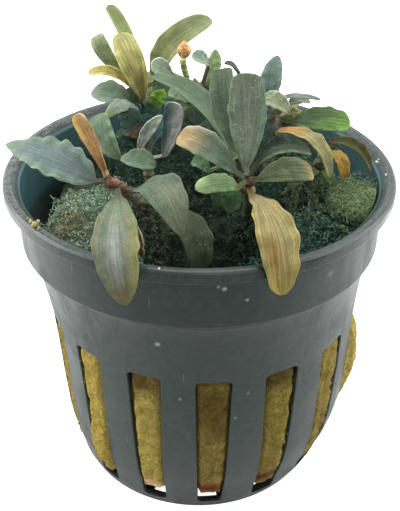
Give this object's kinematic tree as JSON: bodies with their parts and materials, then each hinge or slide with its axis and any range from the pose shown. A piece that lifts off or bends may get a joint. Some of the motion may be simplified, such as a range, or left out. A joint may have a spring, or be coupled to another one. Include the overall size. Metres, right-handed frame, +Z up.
{
  "type": "potted aquarium plant",
  "caption": "Aquarium plant with leathery lance-shaped leaves on short creeping stems, growing on a mossy wool plug in a round slotted net pot.",
  "frame": {"origin": "centre of the pot's underside", "axes": "+Z up through the pot, -Y towards the front, +X to the front's right"},
  "size_m": [0.055, 0.0573, 0.0669],
  "materials": {
    "flower_bud": "orange-tan papery bud",
    "leaf_back_inner": "waxy leaf blade with raised veins",
    "leaf_back_left_inner": "waxy leaf blade with raised veins",
    "leaf_back_left_low": "waxy leaf blade with raised veins",
    "leaf_back_left_small": "waxy leaf blade with raised veins",
    "leaf_back_low": "waxy leaf blade with raised veins",
    "leaf_back_right_dark": "waxy leaf blade with raised veins",
    "leaf_back_right_low": "waxy leaf blade with raised veins",
    "leaf_back_right_narrow": "waxy leaf blade with raised veins",
    "leaf_back_right_pale": "waxy leaf blade with raised veins",
    "leaf_back_right_tendril": "waxy leaf blade with raised veins",
    "leaf_front_left_bent": "waxy leaf blade with raised veins",
    "leaf_front_left_dry": "waxy leaf blade with raised veins",
    "leaf_front_left_hanging": "waxy leaf blade with raised veins",
    "leaf_front_left_outer": "waxy leaf blade with raised veins",
    "leaf_front_middle_low": "waxy leaf blade with raised veins",
    "leaf_left_curled": "waxy leaf blade with raised veins",
    "leaf_left_inner": "waxy leaf blade with raised veins",
    "leaf_lime": "waxy leaf blade with raised veins",
    "leaf_long_crossing": "waxy leaf blade with raised veins",
    "leaf_middle_long": "waxy leaf blade with raised veins",
    "leaf_middle_narrow": "waxy leaf blade with raised veins",
    "leaf_middle_pale": "waxy leaf blade with raised veins",
    "leaf_middle_pointed": "waxy leaf blade with raised veins",
    "leaf_middle_shaded": "waxy leaf blade with raised veins",
    "leaf_middle_upright": "waxy leaf blade with raised veins",
    "leaf_right_brown_arching": "waxy leaf blade with raised veins",
    "leaf_right_dark": "waxy leaf blade with raised veins",
    "leaf_right_green": "waxy leaf blade with raised veins",
    "leaf_right_hanging": "waxy leaf blade with raised veins",
    "leaf_right_low_left": "waxy leaf blade with raised veins",
    "leaf_right_low_right": "waxy leaf blade with raised veins",
    "leaf_right_ochre": "waxy leaf blade with raised veins",
    "leaf_right_upright": "waxy leaf blade with raised veins",
    "leaf_right_upright_behind": "waxy leaf blade with raised veins",
    "leaf_right_yellow_arching": "waxy leaf blade with raised veins",
    "leaf_top_arching": "waxy leaf blade with raised veins",
    "leaf_top_grey_short": "waxy leaf blade with raised veins",
    "leaf_top_left_broad": "waxy leaf blade with raised veins",
    "leaf_top_left_grey": "waxy leaf blade with raised veins",
    "leaf_top_left_round": "waxy leaf blade with raised veins",
    "leaf_top_left_tall": "waxy leaf blade with raised veins",
    "leaf_top_left_yellow": "waxy leaf blade with raised veins",
    "leaf_top_nub": "waxy leaf blade with raised veins",
    "leaf_top_pale": "waxy leaf blade with raised veins",
    "leaf_top_pointed": "waxy leaf blade with raised veins",
    "leaf_top_thin": "waxy leaf blade with raised veins",
    "leaf_top_vivid": "waxy leaf blade with raised veins",
    "moss_tuft": "pale green-yellow moss fibres",
    "net_pot": "dark grey-green moulded plastic, semi-matt, scratched and hazy",
    "stem_back_left": "reddish-brown plant stem, waxy",
    "stem_back_right": "reddish-brown plant stem, waxy",
    "stem_back_top": "reddish-brown plant stem, waxy",
    "stem_bud": "reddish-brown plant stem, waxy",
    "stem_centre": "reddish-brown plant stem, waxy",
    "stem_front_left": "reddish-brown plant stem, waxy",
    "stem_front_right": "reddish-brown plant stem, waxy",
    "stem_middle": "reddish-brown plant stem, waxy",
    "stem_right": "reddish-brown plant stem, waxy",
    "wool_plug": "wet mineral fibre, yellow-brown, fibrous and uneven"
  },
  "bodies": {
    "root": {"flower_bud": "flower_bud", "leaf_back_inner": "leaf_back_inner", "leaf_back_left_inner": "leaf_back_left_inner", "leaf_back_left_low": "leaf_back_left_low", "leaf_back_left_small": "leaf_back_left_small", "leaf_back_low": "leaf_back_low", "leaf_back_right_dark": "leaf_back_right_dark", "leaf_back_right_low": "leaf_back_right_low", "leaf_back_right_narrow": "leaf_back_right_narrow", "leaf_back_right_pale": "leaf_back_right_pale", "leaf_back_right_tendril": "leaf_back_right_tendril", "leaf_front_left_bent": "leaf_front_left_bent", "leaf_front_left_dry": "leaf_front_left_dry", "leaf_front_left_hanging": "leaf_front_left_hanging", "leaf_front_left_outer": "leaf_front_left_outer", "leaf_front_middle_low": "leaf_front_middle_low", "leaf_left_curled": "leaf_left_curled", "leaf_left_inner": "leaf_left_inner", "leaf_lime": "leaf_lime", "leaf_long_crossing": "leaf_long_crossing", "leaf_middle_long": "leaf_middle_long", "leaf_middle_narrow": "leaf_middle_narrow", "leaf_middle_pale": "leaf_middle_pale", "leaf_middle_pointed": "leaf_middle_pointed", "leaf_middle_shaded": "leaf_middle_shaded", "leaf_middle_upright": "leaf_middle_upright", "leaf_right_brown_arching": "leaf_right_brown_arching", "leaf_right_dark": "leaf_right_dark", "leaf_right_green": "leaf_right_green", "leaf_right_hanging": "leaf_right_hanging", "leaf_right_low_left": "leaf_right_low_left", "leaf_right_low_right": "leaf_right_low_right", "leaf_right_ochre": "leaf_right_ochre", "leaf_right_upright": "leaf_right_upright", "leaf_right_upright_behind": "leaf_right_upright_behind", "leaf_right_yellow_arching": "leaf_right_yellow_arching", "leaf_top_arching": "leaf_top_arching", "leaf_top_grey_short": "leaf_top_grey_short", "leaf_top_left_broad": "leaf_top_left_broad", "leaf_top_left_grey": "leaf_top_left_grey", "leaf_top_left_round": "leaf_top_left_round", "leaf_top_left_tall": "leaf_top_left_tall", "leaf_top_left_yellow": "leaf_top_left_yellow", "leaf_top_nub": "leaf_top_nub", "leaf_top_pale": "leaf_top_pale", "leaf_top_pointed": "leaf_top_pointed", "leaf_top_thin": "leaf_top_thin", "leaf_top_vivid": "leaf_top_vivid", "moss_tuft": "moss_tuft", "net_pot": "net_pot", "stem_back_left": "stem_back_left", "stem_back_right": "stem_back_right", "stem_back_top": "stem_back_top", "stem_bud": "stem_bud", "stem_centre": "stem_centre", "stem_front_left": "stem_front_left", "stem_front_right": "stem_front_right", "stem_middle": "stem_middle", "stem_right": "stem_right", "wool_plug": "wool_plug"}
  },
  "joints": []
}
